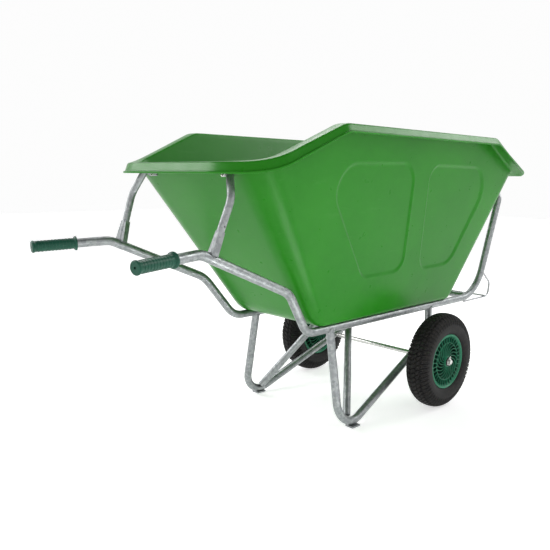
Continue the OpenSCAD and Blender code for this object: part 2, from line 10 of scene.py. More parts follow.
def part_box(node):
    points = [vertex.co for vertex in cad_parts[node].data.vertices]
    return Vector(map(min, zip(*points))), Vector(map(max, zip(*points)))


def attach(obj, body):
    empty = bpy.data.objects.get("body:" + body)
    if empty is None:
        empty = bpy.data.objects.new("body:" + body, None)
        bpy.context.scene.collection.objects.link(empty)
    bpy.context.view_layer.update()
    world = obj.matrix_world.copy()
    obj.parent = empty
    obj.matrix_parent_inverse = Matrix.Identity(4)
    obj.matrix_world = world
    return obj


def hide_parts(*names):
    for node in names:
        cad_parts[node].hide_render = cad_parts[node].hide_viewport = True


MM = 0.001
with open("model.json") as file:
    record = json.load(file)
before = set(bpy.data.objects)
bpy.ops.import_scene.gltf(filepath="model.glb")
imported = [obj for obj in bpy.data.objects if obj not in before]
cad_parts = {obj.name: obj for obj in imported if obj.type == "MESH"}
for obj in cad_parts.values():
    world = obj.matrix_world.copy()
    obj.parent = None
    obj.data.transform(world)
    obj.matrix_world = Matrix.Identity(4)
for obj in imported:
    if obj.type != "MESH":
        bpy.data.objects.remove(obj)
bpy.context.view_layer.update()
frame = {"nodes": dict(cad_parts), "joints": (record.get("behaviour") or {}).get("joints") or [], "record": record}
scene = bpy.context.scene
nodes = frame["nodes"]

# The axle line gives the lengthwise zero from which most of the cart is laid out.
joint = {j["name"]: j for j in frame["joints"]}
AXLE = Vector(joint["left_wheel_spin"]["pos_m"])
AXLE_X, WHEEL_Y, AXLE_Z = AXLE
MIRROR = np.array([1.0, -1.0, 1.0])


def at(x, y, z):
    """A point given in mm ahead of the axle, to the left, and up, as metres in the row frame."""
    return np.array([AXLE_X + x * MM, y * MM, z * MM])


# ---------------------------------------------------------------- camera
CAM_POS = at(-2332, -1773, 959)
SENSOR_MM, FOCAL_PER_WIDTH = 36, 639 / 550
CAM_YAW, CAM_PITCH, CAM_ROLL = (math.radians(a) for a in (43.88, 8.73, -0.69))
ahead = Vector((
    math.sin(CAM_YAW) * math.cos(CAM_PITCH),
    math.cos(CAM_YAW) * math.cos(CAM_PITCH),
    -math.sin(CAM_PITCH),
))
across = Vector((math.cos(CAM_YAW), -math.sin(CAM_YAW), 0))
down = ahead.cross(across)
rolled_across = across * math.cos(CAM_ROLL) + down * math.sin(CAM_ROLL)
rolled_up = across * math.sin(CAM_ROLL) - down * math.cos(CAM_ROLL)
cam_data = bpy.data.cameras.new("camera")
cam_data.sensor_width = SENSOR_MM
cam_data.lens = FOCAL_PER_WIDTH * SENSOR_MM
cam_data.clip_end = 100
camera = bpy.data.objects.new("camera", cam_data)
scene.collection.objects.link(camera)
turn = Matrix((rolled_across, rolled_up, -ahead)).transposed().to_4x4()
camera.matrix_world = Matrix.Translation(Vector(CAM_POS)) @ turn
scene.camera = camera


# ---------------------------------------------------------------- mesh helpers
def smooth(obj, angle=35):
    """Smooth shading, with edges sharper than the angle kept crisp."""
    mesh = obj.data
    mesh.shade_smooth()
    mesh.set_sharp_from_angle(angle=math.radians(angle))
    return obj


def mesh_object(name, verts, faces, angle=35):
    mesh = bpy.data.meshes.new(name)
    mesh.from_pydata([tuple(v) for v in verts], [], [tuple(f) for f in faces])
    mesh.update()
    obj = bpy.data.objects.new(name, mesh)
    scene.collection.objects.link(obj)
    return smooth(obj, angle)


def grid_faces(rows, cols, close_rows=False, close_cols=True, flip=False):
    """Quads between neighbouring rows of points; a closed direction joins its end to its start."""
    r = np.arange(rows if close_rows else rows - 1)
    c = np.arange(cols if close_cols else cols - 1)
    r, c = (g.ravel() for g in np.meshgrid(r, c, indexing="ij"))
    r2, c2 = (r + 1) % rows, (c + 1) % cols
    quads = np.stack([r * cols + c, r * cols + c2, r2 * cols + c2, r2 * cols + c], 1)
    return quads[:, ::-1] if flip else quads


def joined(name, parts, angle=35):
    """One object from several (verts, faces) pairs."""
    verts, faces, start = [], [], 0
    for v, f in parts:
        verts.extend(np.asarray(v, float).tolist())
        faces.extend([[i + start for i in face] for face in f])
        start += len(v)
    return mesh_object(name, verts, faces, angle)


def mirrored(part):
    """The same (verts, faces) on the other side of the cart."""
    v, f = part
    return np.asarray(v) * MIRROR, [tuple(reversed(tuple(face))) for face in f]


def unit(v):
    v = np.asarray(v, float)
    return v / np.linalg.norm(v)


def lathe(profile, centre, steps=96):
    """Solid turned about a sideways line through centre, from a closed list of [radius, offset] in mm."""
    p = np.asarray(profile, float) * MM
    a = np.linspace(0, 2 * math.pi, steps, endpoint=False)
    x = np.outer(np.cos(a), p[:, 0]) + centre[0]
    z = np.outer(np.sin(a), p[:, 0]) + centre[2]
    y = np.tile(p[:, 1], (steps, 1)) + centre[1]
    verts = np.stack([x, y, z], 2).reshape(-1, 3)
    return verts, grid_faces(steps, len(p), close_rows=True, close_cols=True)


def piece(obj, body, material, replaced=()):
    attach(obj, body)
    if replaced:
        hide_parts(*replaced)
    obj.data.materials.clear()
    obj.data.materials.append(material)
    return obj


# ---------------------------------------------------------------- material helpers
class Shader:
    """A Principled material whose colour, roughness and bump come from node chains."""

    def __init__(self, name, **values):
        self.mat = bpy.data.materials.new(name)
        self.mat.use_nodes = True
        self.tree = self.mat.node_tree
        self.bsdf = self.tree.nodes["Principled BSDF"]
        for key, value in values.items():
            self.bsdf.inputs[key.replace("_", " ")].default_value = value
        self.where = self.tree.nodes.new("ShaderNodeNewGeometry").outputs["Position"]

    def node(self, kind, **props):
        made = self.tree.nodes.new("ShaderNode" + kind)
        for key, value in props.items():
            setattr(made, key, value)
        return made

    def put(self, socket, value):
        if hasattr(value, "node"):
            self.tree.links.new(value, socket)
        else:
            socket.default_value = value

    def stretch(self, scale):
        made = self.node("VectorMath", operation="MULTIPLY")
        self.put(made.inputs[0], self.where)
        made.inputs[1].default_value = scale
        return made.outputs[0]

    def noise(self, scale, detail=4.0, rough=0.55, vector=None, distort=0.0):
        made = self.node("TexNoise")
        self.put(made.inputs["Vector"], vector or self.where)
        made.inputs["Scale"].default_value = scale
        made.inputs["Detail"].default_value = detail
        made.inputs["Roughness"].default_value = rough
        made.inputs["Distortion"].default_value = distort
        return made.outputs["Fac"]

    def cells(self, scale, output="Color", feature="F1", vector=None):
        made = self.node("TexVoronoi", feature=feature)
        self.put(made.inputs["Vector"], vector or self.where)
        made.inputs["Scale"].default_value = scale
        return made.outputs[output]

    def span(self, value, low, high, to_low=0.0, to_high=1.0):
        made = self.node("MapRange")
        self.put(made.inputs["Value"], value)
        for key, number in zip(("From Min", "From Max", "To Min", "To Max"), (low, high, to_low, to_high)):
            self.put(made.inputs[key], number)
        return made.outputs[0]

    def math(self, operation, a, b=0.0):
        made = self.node("Math", operation=operation)
        self.put(made.inputs[0], a)
        self.put(made.inputs[1], b)
        return made.outputs[0]

    def blend(self, share, a, b, mode="MIX"):
        made = self.node("Mix", data_type="RGBA", blend_type=mode)
        self.put(made.inputs[0], share)
        self.put(made.inputs[6], a)
        self.put(made.inputs[7], b)
        return made.outputs[2]

    def bump(self, height, distance, strength=1.0, normal=None):
        made = self.node("Bump")
        self.put(made.inputs["Height"], height)
        made.inputs["Distance"].default_value = distance
        made.inputs["Strength"].default_value = strength
        if normal is not None:
            self.put(made.inputs["Normal"], normal)
        return made.outputs[0]

    def finish(self, colour=None, rough=None, normal=None):
        for key, value in (("Base Color", colour), ("Roughness", rough), ("Normal", normal)):
            if value is not None:
                self.put(self.bsdf.inputs[key], value)
        return self.mat


def rgb(r, g, b):
    return (r, g, b, 1.0)


def tub_material():
    s = Shader("tub_plastic", Specular_IOR_Level=0.24, IOR=1.45)
    cloud = s.noise(2.2, 3.0)
    mottle = s.noise(26.0, 4.0, 0.6)
    speck = s.noise(420.0, 2.0, 0.5)
    base = s.blend(s.span(cloud, 0.35, 0.65), rgb(0.011, 0.170, 0.004), rgb(0.017, 0.196, 0.007))
    base = s.blend(s.span(mottle, 0.45, 0.75, 0.0, 0.35), base, rgb(0.024, 0.212, 0.013))
    rubs = s.noise(9.0, 5.0, 0.7, s.stretch((1.0, 1.0, 6.0)), 0.6)
    rub = s.span(rubs, 0.60, 0.74, 0.0, 0.30)
    base = s.blend(rub, base, rgb(0.060, 0.250, 0.045))
    hair = s.noise(160.0, 3.0, 0.5, s.stretch((1.0, 1.0, 0.06)))
    scratch = s.span(hair, 0.66, 0.76, 0.0, 0.12)
    base = s.blend(scratch, base, rgb(0.075, 0.265, 0.060))
    rough = s.math("ADD", s.span(mottle, 0.3, 0.7, 0.27, 0.36), s.math("MULTIPLY", rub, 0.25))
    skin = s.bump(speck, 0.0002, 0.35)
    skin = s.bump(s.noise(7.0, 2.0), 0.0025, 0.30, skin)
    skin = s.bump(scratch, 0.00015, 0.3, skin)
    return s.finish(base, rough, skin)


def galvanised_material(name, light, dark, spangle_scale, rough_span):
    s = Shader(name, Metallic=0.85)
    spangle = s.node("SeparateColor")
    s.put(spangle.inputs[0], s.cells(spangle_scale))
    shade = s.span(spangle.outputs[0], 0.0, 1.0, 0.25, 0.75)
    cloud = s.noise(14.0, 5.0, 0.65)
    base = s.blend(s.math("MULTIPLY", shade, s.span(cloud, 0.3, 0.7, 0.7, 1.2)), dark, light)
    white_rust = s.span(s.noise(55.0, 6.0, 0.7), 0.58, 0.72, 0.0, 0.5)
    base = s.blend(white_rust, base, rgb(0.52, 0.54, 0.54))
    runs = s.span(s.noise(90.0, 3.0, 0.6, s.stretch((1.0, 1.0, 0.15))), 0.60, 0.74, 0.0, 0.35)
    base = s.blend(runs, base, dark)
    rough = s.math(
        "ADD",
        s.span(spangle.outputs[1], 0.0, 1.0, *rough_span),
        s.math("MULTIPLY", white_rust, 0.25),
    )
    skin = s.bump(s.noise(120.0, 4.0, 0.6), 0.0005, 0.35)
    skin = s.bump(spangle.outputs[2], 0.0001, 0.25, skin)
    skin = s.bump(runs, 0.0004, 0.30, skin)
    return s.finish(base, rough, skin)


def moulded_material(name, low, high, rough_span, dust, painted_recess_shade=None):
    """Moulded plastic. The last, optional argument (plane, near, far) paints shade: it darkens what lies less than
    far from a plane of |Y|.
    """
    s = Shader(name, Specular_IOR_Level=0.30)
    cloud = s.noise(18.0, 4.0, 0.6)
    base = s.blend(s.span(cloud, 0.3, 0.7), low, high)
    dusty = s.span(s.noise(65.0, 5.0, 0.7), 0.52, 0.70, 0.0, dust)
    base = s.blend(dusty, base, rgb(0.20, 0.22, 0.19))
    if painted_recess_shade:
        middle, near, far = painted_recess_shade
        split = s.node("SeparateXYZ")
        s.put(split.inputs[0], s.where)
        outward = s.math("ABSOLUTE", s.math("SUBTRACT", s.math("ABSOLUTE", split.outputs[1]), middle))
        # Painted shade: whatever lies nearer the middle plane than near is blended 85% towards near-black, fading
        # out by far.
        base = s.blend(s.span(outward, near, far, 0.85, 0.0), base, rgb(0.002, 0.012, 0.008))
    rough = s.math("ADD", s.span(cloud, 0.3, 0.7, *rough_span), s.math("MULTIPLY", dusty, 0.3))
    skin = s.bump(s.noise(700.0, 3.0), 0.00015, 0.5)
    skin = s.bump(s.noise(40.0, 3.0), 0.0008, 0.25, skin)
    return s.finish(base, rough, skin)


def rubber_material(name, dark, light, dust_colour, dust):
    s = Shader(name, Specular_IOR_Level=0.22)
    cloud = s.noise(12.0, 5.0, 0.65)
    base = s.blend(s.span(cloud, 0.3, 0.7), dark, light)
    dusty = s.span(s.noise(85.0, 6.0, 0.75), 0.48, 0.68, 0.0, dust)
    base = s.blend(dusty, base, dust_colour)
    rough = s.math("ADD", s.span(cloud, 0.3, 0.7, 0.50, 0.66), s.math("MULTIPLY", dusty, 0.2))
    skin = s.bump(s.noise(520.0, 4.0, 0.6), 0.0004, 0.45)
    return s.finish(base, rough, skin)


def brass_material():
    s = Shader("valve_brass", Metallic=1.0)
    cloud = s.noise(90.0, 4.0)
    base = s.blend(cloud, rgb(0.42, 0.31, 0.13), rgb(0.62, 0.50, 0.26))
    return s.finish(base, s.span(cloud, 0.3, 0.7, 0.28, 0.45), s.bump(s.noise(900.0), 0.0001, 0.4))


TUB = tub_material()
FRAME_STEEL = galvanised_material(
    "frame_steel", rgb(0.44, 0.46, 0.465), rgb(0.17, 0.185, 0.19), 95.0, (0.34, 0.50))
ROD_STEEL = galvanised_material(
    "rod_steel", rgb(0.50, 0.51, 0.52), rgb(0.22, 0.23, 0.24), 240.0, (0.30, 0.42))
FIXING_STEEL = galvanised_material(
    "fixing_steel", rgb(0.78, 0.78, 0.76), rgb(0.50, 0.50, 0.48), 300.0, (0.18, 0.30))
GRIP = moulded_material(
    "grip_plastic", rgb(0.003, 0.060, 0.034), rgb(0.006, 0.085, 0.050), (0.34, 0.44), 0.08)
# Painted shade on the wheel centre: parts nearer the wheel's middle plane than 31 mm are darkened, fading out by
# 38.5 mm, so the outer faces keep their own green.
WHEEL = moulded_material(
    "wheel_plastic", rgb(0.008, 0.150, 0.072), rgb(0.014, 0.190, 0.098), (0.34, 0.46), 0.12,
    (WHEEL_Y, 0.031, 0.0385))
BUSH = moulded_material(
    "bush_plastic", rgb(0.010, 0.010, 0.011), rgb(0.020, 0.020, 0.021), (0.35, 0.45), 0.12)
TYRE = rubber_material(
    "tyre_rubber", rgb(0.004, 0.004, 0.0045), rgb(0.009, 0.009, 0.0095), rgb(0.050, 0.042, 0.030), 0.40)
TUBE_RUBBER = rubber_material(
    "tube_rubber", rgb(0.012, 0.012, 0.013), rgb(0.020, 0.020, 0.021), rgb(0.05, 0.05, 0.045), 0.2)
BRASS = brass_material()

SLOT_MATERIAL = {
    "tub_plastic": TUB, "frame_steel": FRAME_STEEL, "rod_steel": ROD_STEEL,
    "fixing_steel": FIXING_STEEL, "grip_plastic": GRIP, "wheel_plastic": WHEEL,
    "tyre_rubber": TYRE, "tube_rubber": TUBE_RUBBER, "valve_brass": BRASS, "bush_plastic": BUSH,
}
for sub in frame["record"]["subparts"]:
    node = nodes[sub["node"]]
    node.data.materials.clear()
    node.data.materials.append(SLOT_MATERIAL[sub["material_slot"]])
    smooth(node, 32)

# ---------------------------------------------------------------- tub
FLOOR_Z, TOP_Z = 407, 1133
REAR, FRONT = (-633, -1160), (311, 679)
HALF = (226, 383)
REAR_R, FRONT_R = (60, 120), (60, 85)
KNEE_FRONT, KNEE_REAR = (90, 265), (-400, -725)
RIM = dict(rear=-1110, front=610, half=425, end_half=401, rear_r=190, front_r=80, rear_z=1003, front_z=983)
RISE_RUN, SKIRT_DROP, SKIRT_FLARE, SKIRT_T, LIP_T = 295, 31, 14, 4, 8
REAR_DROP_EXTRA, TUB_WALL = 6, 5
SIDE_LEAN = math.atan((HALF[1] - HALF[0]) / (TOP_Z - FLOOR_Z))
ARC_N, END_N, FRONT_N, PANEL_N, BACK_N = 14, 16, 26, 230, 44


def arc(cx, cy, r, start, n=ARC_N):
    a = np.radians(np.linspace(start, start + 90, n))
    return np.stack([cx + r * np.cos(a), cy + r * np.sin(a)], 1)


def run(a, b, n):
    """n points from a towards b, both ends left out."""
    t = (np.arange(n) + 1)[:, None] / (n + 1)
    return np.asarray(a, float) * (1 - t) + np.asarray(b, float) * t


def outline(xr, xf, h, h_mid, rr, rf, kf, kr):
    """Plan of the tub at one level, counter-clockwise from its front left corner."""
    left = [arc(xf - rf, h - rf, rf, 0)]
    left += [run(left[0][-1], (kf, h_mid), FRONT_N), [(kf, h_mid)]]
    left += [run((kf, h_mid), (kr, h_mid), PANEL_N), [(kr, h_mid)]]
    back = arc(xr + rr, h - rr, rr, 90)
    left += [run((kr, h_mid), back[0], BACK_N), back]
    left = np.concatenate([np.asarray(p, float) for p in left])
    half_back = run(left[-1], left[-1] * (1, -1), 2 * END_N)
    right = left[::-1] * (1, -1)
    half_front = run(right[-1], left[0], 2 * END_N)
    return np.concatenate([left, half_back, right, half_front])


def wall_ring(k, d):
    """Wall line ends on the floor plane (k = 0) or at full height (k = 1), moved in by d."""
    in_x, in_y = d / math.cos(math.radians(30)), d / math.cos(SIDE_LEAN)
    plan = outline(
        REAR[k] + in_x, FRONT[k] - in_x, HALF[k] - in_y, HALF[k] - in_y,
        REAR_R[k] - d, FRONT_R[k] - d, KNEE_FRONT[k], KNEE_REAR[k])
    return np.column_stack([plan, np.full(len(plan), (FLOOR_Z, TOP_Z)[k])])


def soft_min(a, b, r):
    """Smaller of a and b, with the meeting rounded over about r."""
    h = np.clip(0.5 + 0.5 * (b - a) / r, 0, 1)
    return b * (1 - h) + a * h - r * h * (1 - h)


def rim_z(x):
    rise = (TOP_Z - RIM["rear_z"]) / RISE_RUN
    fall = (TOP_Z - RIM["front_z"]) / (RIM["front"] - KNEE_FRONT[1])
    x = np.minimum(x, RIM["front"])
    rear = -soft_min(-(TOP_Z + rise * (x - KNEE_REAR[1])), np.full_like(x, -RIM["rear_z"]), 34)
    front = TOP_Z - fall * (x - KNEE_FRONT[1])
    return soft_min(soft_min(rear, front, 8), np.full_like(x, TOP_Z), 8)


def skirt_at(x):
    x = np.minimum(x, RIM["front"])
    rear = SKIRT_DROP + REAR_DROP_EXTRA * np.clip((KNEE_REAR[1] - x) / RISE_RUN, 0, 1)
    t = (x - KNEE_FRONT[1]) / (RIM["front"] - KNEE_FRONT[1])
    front = SKIRT_DROP + (LIP_T - SKIRT_DROP) * t
    return np.where(x < KNEE_FRONT[1], rear, front)


def rim_ring(out, drop_share, lift):
    plan = outline(
        RIM["rear"] - out, RIM["front"] + out, RIM["end_half"] + out, RIM["half"] + out,
        RIM["rear_r"] + out, RIM["front_r"] + out, KNEE_FRONT[1], KNEE_REAR[1])
    z = rim_z(plan[:, 0]) - drop_share * skirt_at(plan[:, 0]) + lift
    return np.column_stack([plan, z])


def share_at_rim(low, high, drop):
    lo, hi = np.full(len(low), 0.4), np.full(len(low), 1.05)
    for _ in range(30):
        mid = (lo + hi) / 2
        p = low + (high - low) * mid[:, None]
        above = p[:, 2] > rim_z(p[:, 0]) - drop
        hi, lo = np.where(above, mid, hi), np.where(above, lo, mid)
    return lo


def turn_rings(low, high, floor_z, steps):
    """Rounded turn from floor to wall, longer at the ends of the tub than along its sides."""
    w = high - low
    w /= np.linalg.norm(w, axis=1)[:, None]
    base = low + w * ((floor_z - low[:, 2]) / w[:, 2])[:, None]
    t = np.roll(low, -1, 0) - np.roll(low, 1, 0)
    t /= np.linalg.norm(t, axis=1)[:, None]
    inward = np.column_stack([-t[:, 1], t[:, 0], np.zeros(len(t))])
    reach = (19 + 48 * inward[:, :1] ** 2)
    a, c = base + inward * reach, base + w * reach
    s = np.linspace(0, 1, steps + 1)
    return [(1 - k) ** 2 * a + 2 * k * (1 - k) * base + k * k * c for k in s]


def fillet(rings, k, r, steps=4):
    """Ring k turned into a short rounded corner that takes up to r of each side."""
    prev, here, then = rings[k - 1], rings[k], rings[k + 1]
    def leg(to):
        d = to - here
        length = np.linalg.norm(d, axis=1)[:, None]
        return here + d / length * np.minimum(r, 0.45 * length)
    a, c = leg(prev), leg(then)
    s = np.linspace(0, 1, steps + 1)
    return [(1 - t) ** 2 * a + 2 * t * (1 - t) * here + t * t * c for t in s]


# Pressed side panels, as corner discs [x, z, radius] in the side view.
PANELS = (
    [[-567, 917, 95], [-310, 918, 100], [-222, 640, 58], [-385, 652, 73]],
    [[-58, 958, 56], [210, 892, 120], [140, 675, 94], [20, 648, 70]],
)
PANEL_DEPTH, OUTER_BEVEL, INNER_BEVEL = 5.0, 8.0, 13.0


def hull_distance(p, discs):
    """Signed distance to the taut outline round the discs, negative inside."""
    best = np.full(len(p), 1e9)
    inside = np.ones(len(p), bool)
    discs = np.asarray(discs, float)
    for i in range(len(discs)):
        a, b = discs[i], discs[(i + 1) % len(discs)]
        d = b[:2] - a[:2]
        length = np.linalg.norm(d)
        d = d / length
        lean = math.asin((a[2] - b[2]) / length)
        side = np.array([-d[1], d[0]])
        n = side * math.cos(lean) + d * math.sin(lean)
        along = d * math.cos(lean) - side * math.sin(lean)
        start, end = a[:2] + n * a[2], b[:2] + n * b[2]
        rel = p - start
        t = rel @ along
        off = rel @ n
        inside &= off < 0
        run_len = (end - start) @ along
        q = start + np.outer(np.clip(t, 0, run_len), along)
        best = np.minimum(best, np.linalg.norm(p - q, axis=1))
        inside_disc = np.linalg.norm(p - b[:2], axis=1) - b[2]
        # the round corner at b counts where both neighbouring sides are passed
        c = discs[(i + 2) % len(discs)]
        d2 = unit(c[:2] - b[:2])
        lean2 = math.asin((b[2] - c[2]) / np.linalg.norm(c[:2] - b[:2]))
        side2 = np.array([-d2[1], d2[0]])
        n2 = side2 * math.cos(lean2) + d2 * math.sin(lean2)
        v = p - b[:2]
        ang = np.arctan2(v[:, 1], v[:, 0])
        a1, a2 = math.atan2(n[1], n[0]), math.atan2(n2[1], n2[0])
        span = (a2 - a1 + math.pi) % (2 * math.pi) - math.pi
        rel_ang = (ang - a1 + math.pi) % (2 * math.pi) - math.pi
        within = (rel_ang * np.sign(span) >= 0) & (np.abs(rel_ang) <= abs(span))
        best = np.where(within, np.minimum(best, np.abs(inside_disc)), best)
        inside = np.where(within & (inside_disc < 0) & inside, True, inside & ~(within & (inside_disc > 0)))
    return np.where(inside, -best, best)


def pressed(ring, depth, bevel):
    """Side-wall points moved inwards inside the panels."""
    out = ring.copy()
    slope = np.array([0, math.cos(SIDE_LEAN), -math.sin(SIDE_LEAN)])
    flat = np.abs(ring[:, 1]) - (HALF[0] + (ring[:, 2] - FLOOR_Z) * math.tan(SIDE_LEAN))
    on_side = np.abs(flat) < 7
    p = ring[:, [0, 2]]
    for discs in PANELS:
        d = hull_distance(p, discs)
        t = np.clip(-d / bevel, 0, 1)
        t = t * t * (3 - 2 * t) * on_side
        # a faint raised bead runs round the outside of each panel
        bead = np.exp(-((d - 3.5) / 3.0) ** 2) * on_side
        move = (depth * t - 0.5 * bead)[:, None] * slope
        move[:, 1] *= np.sign(ring[:, 1])
        out -= move
    return out


outer_low, outer_high = wall_ring(0, 0), wall_ring(1, 0)
inner_low, inner_high = wall_ring(0, TUB_WALL), wall_ring(1, TUB_WALL)
TURN_STEPS = 7
outer_turn = turn_rings(outer_low, outer_high, FLOOR_Z, TURN_STEPS)
inner_turn = turn_rings(inner_low, inner_high, FLOOR_Z + TUB_WALL, TURN_STEPS)


def wall_top(low, high, drop):
    return low + (high - low) * share_at_rim(low, high, drop)[:, None]


rim_keys = [
    outer_turn[-1],
    wall_top(outer_low, outer_high, 5),
    rim_ring(-SKIRT_T, 0, -5),
    rim_ring(SKIRT_FLARE - SKIRT_T, 1, 0),
    rim_ring(SKIRT_FLARE + 3, 1, 0),
    rim_ring(SKIRT_FLARE + 3, 0.80, 0),
    rim_ring(SKIRT_FLARE * 0.76, 0.78, 0),
    rim_ring(1, 0, 0),
    wall_top(inner_low, inner_high, 0),
    inner_turn[-1],
]
RIM_FILLETS = {1: 9, 2: 4, 3: 1.5, 4: 2.2, 5: 2.2, 6: 2.0, 7: 7, 8: 7}
OUTER_ROWS, INNER_ROWS = 120, 46
rim_rows = []
for k, r in RIM_FILLETS.items():
    rim_rows += fillet(rim_keys, k, r)
rise = np.linspace(0, 1, OUTER_ROWS + 2)[1:-1, None, None]
outer_rows = list(outer_turn[-1] * (1 - rise) + rim_rows[0] * rise)
fall = np.linspace(0, 1, INNER_ROWS + 2)[1:-1, None, None]
inner_rows = list(rim_rows[-1] * (1 - fall) + inner_turn[-1] * fall)
rows = (
    outer_turn
    + [pressed(r, PANEL_DEPTH, OUTER_BEVEL) for r in outer_rows]
    + rim_rows
    + [pressed(r, PANEL_DEPTH, INNER_BEVEL) for r in inner_rows]
    + inner_turn[::-1]
)
tub_points = np.array(rows) * MM
tub_points[:, :, 0] += AXLE_X
cols = tub_points.shape[1]
tub_faces = grid_faces(len(rows), cols).tolist()
tub_faces.append(list(range(cols - 1, -1, -1)))
tub_faces.append(list(range((len(rows) - 1) * cols, len(rows) * cols)))
tub = mesh_object("tub_shell", tub_points.reshape(-1, 3), tub_faces, 50)
piece(tub, "cart", TUB, ["tub"])

# ---------------------------------------------------------------- wheels
tyre_low, tyre_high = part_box("left_tyre")
TYRE_R = (tyre_high.z - tyre_low.z) / 2 / MM
TYRE_HALF = (tyre_high.y - tyre_low.y) / 2 / MM
centre_low, centre_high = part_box("left_wheel_centre")
FLANGE_R = (centre_high.z - centre_low.z) / 2 / MM
HUB_HALF = (centre_high.y - centre_low.y) / 2 / MM
FLANGE_Y, BEAD_R, WELL_R, HUB_R, BORE_R = 40, 102, 92, 22, 14
SECTION_MID, SECTION_H = (TYRE_R + BEAD_R) / 2, (TYRE_R - BEAD_R) / 2


def tyre_arc(half_width, half_height, angles):
    """Points [radius, offset] of the tyre's squared-off oval section."""
    a = np.radians(angles)
    c, s = np.cos(a), np.sin(a)
    return np.stack([
        SECTION_MID + half_height * np.sign(c) * np.abs(c) ** 0.85,
        half_width * np.sign(s) * np.abs(s) ** 0.8,
    ], 1)


def step(edge, x, soft):
    """0 below the edge and 1 above it, over a soft width."""
    t = np.clip((x - edge) / soft + 0.5, 0, 1)
    return t * t * (3 - 2 * t)


def groove(x, pitch, width, soft):
    """1 inside grooves of a width that repeat at a pitch."""
    x = np.abs((x + pitch / 2) % pitch - pitch / 2)
    return 1 - step(width / 2, x, soft)


def tread(u, w):
    """Share of the full groove depth at a distance round the tyre u and a sideways offset w, in mm."""
    zigzag = 2.2 * np.sin(u * 2 * math.pi / PITCH)
    aw = np.abs(w)
    lines = np.maximum(
        groove(aw - 12 - zigzag * np.sign(w), 400, 4.2, 1.6),
        groove(aw - 29 - zigzag * np.sign(w), 400, 4.2, 1.6),
    )
    centre = groove(u + w * 0.6, PITCH, 4.4, 1.8) * (aw < 12)
    middle = groove(u + PITCH / 2 + aw * 0.35, PITCH, 4.4, 1.8) * (aw >= 12) * (aw < 29)
    lug = groove(u + aw * 0.15, PITCH, 5.6, 2.2) * step(29, aw, 3)
    sipe = 0.45 * groove(u + PITCH / 2 + aw * 0.15, PITCH, 2.4, 1.8) * step(31, aw, 2)
    return np.maximum.reduce([lines, centre, middle, lug, sipe])


LUG_COUNT = 62
PITCH = 2 * math.pi * TYRE_R / LUG_COUNT
TREAD_DEPTH = 4.6


def tyre_part(steps=720):
    crown = np.linspace(-78, 78, 74)
    wall = np.linspace(78, 128, 16)[1:]
    outer = tyre_arc(TYRE_HALF, SECTION_H, np.concatenate([-wall[::-1], crown, wall]))
    inner = tyre_arc(TYRE_HALF - 7, SECTION_H - 8, np.linspace(140, -140, 25))
    bead = np.array([[116.6, 36.6], [101.5, 31.6], [101.5, 20.0], [107.5, 21.0]])
    theta = np.linspace(0, 2 * math.pi, steps, endpoint=False)
    r0, w0 = outer.T
    ridge = sum(h * np.exp(-((r0 - r) / s) ** 2) for r, s, h in (
        (125.5, 1.8, 0.9), (139.0, 1.6, 0.7), (166.0, 1.6, 0.8)))
    w0 = w0 + np.sign(w0) * ridge * (np.abs(w0) < TYRE_HALF - 1.2)
    u = theta[:, None] * TYRE_R
    # the pattern runs down the shoulder and dies out on the side wall
    fade = step(160, r0, 14)
    span = np.where(np.abs(w0) > 40, 40 + (np.abs(w0) - 40) * 0.7 + (TYRE_R - r0) * 0.25, np.abs(w0))
    depth = TREAD_DEPTH * tread(u, np.sign(w0) * span) * fade
    normal = np.stack([r0 - SECTION_MID, w0 * 0.8], 1)
    normal /= np.linalg.norm(normal, axis=1)[:, None]
    rings = np.empty((steps, len(outer) + 2 * len(bead) + len(inner), 2))
    n = len(outer)
    rings[:, :n, 0] = r0 - depth * normal[:, 0]
    rings[:, :n, 1] = w0 - depth * normal[:, 1]
    rings[:, n:n + 4] = bead
    rings[:, n + 4:-4] = inner
    rings[:, -4:] = bead[::-1] * (1, -1)
    rings *= MM
    verts = np.stack([
        AXLE_X + rings[:, :, 0] * np.cos(theta)[:, None],
        WHEEL_Y + rings[:, :, 1],
        AXLE_Z + rings[:, :, 0] * np.sin(theta)[:, None],
    ], 2)
    return verts.reshape(-1, 3), grid_faces(steps, rings.shape[1], True, True, flip=True).tolist()


def thin_rib(path, thick, half_height, middle=0, soft=0.5):
    """Upright rib that follows a path of [x, z] points in the wheel's plane, with softened top edges."""
    path = np.asarray(path, float)
    d = np.gradient(path, axis=0)
    d /= np.linalg.norm(d, axis=1)[:, None]
    side = np.stack([-d[:, 1], d[:, 0]], 1)
    t, h = thick / 2, half_height
    section = [(-t, -h + soft), (-t + soft, -h), (t - soft, -h), (t, -h + soft),
               (t, h - soft), (t - soft, h), (-t + soft, h), (-t, h - soft)]
    rows = []
    for p, s in zip(path, side):
        rows.append([
            (AXLE_X + (p[0] + s[0] * a) * MM, WHEEL_Y + (middle + b) * MM, AXLE_Z + (p[1] + s[1] * a) * MM)
            for a, b in section])
    rows = np.array(rows)
    n = len(section)
    faces = grid_faces(len(rows), n, False, True).tolist()
    faces.append(list(range(n - 1, -1, -1)))
    faces.append(list(range((len(rows) - 1) * n, len(rows) * n)))
    return rows.reshape(-1, 3), faces


SPOKES, SHORT_RIBS, RING_R = 20, 32, 80


